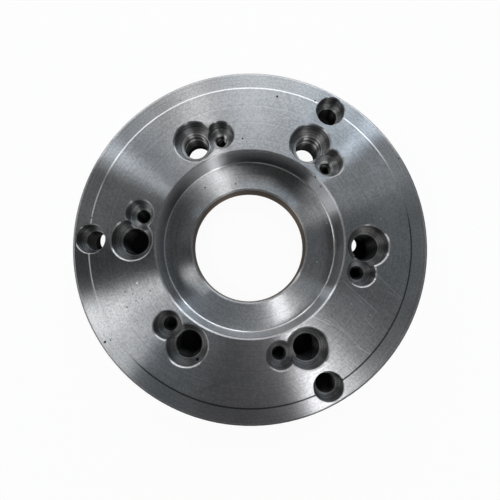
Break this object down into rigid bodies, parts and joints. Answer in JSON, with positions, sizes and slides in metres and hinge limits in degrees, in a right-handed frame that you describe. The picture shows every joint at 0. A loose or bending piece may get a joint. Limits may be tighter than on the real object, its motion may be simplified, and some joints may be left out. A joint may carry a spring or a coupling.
{
  "type": "chuck flange",
  "caption": "Round turned flange that carries a lathe chuck on a cam-lock spindle nose: short taper socket, bore, stud and lock-screw seats, and counterbored chuck screw holes.",
  "frame": {"origin": "on the turning axis, at the end face of the spigot that enters the chuck", "axes": "+Z along the turning axis, towards the spindle; +X through one stud seat"},
  "size_m": [0.2, 0.2, 0.03],
  "materials": {
    "machined_iron": "bare iron, turned bright all over"
  },
  "bodies": {
    "root": {"chuck_flange": "machined_iron"}
  },
  "joints": []
}
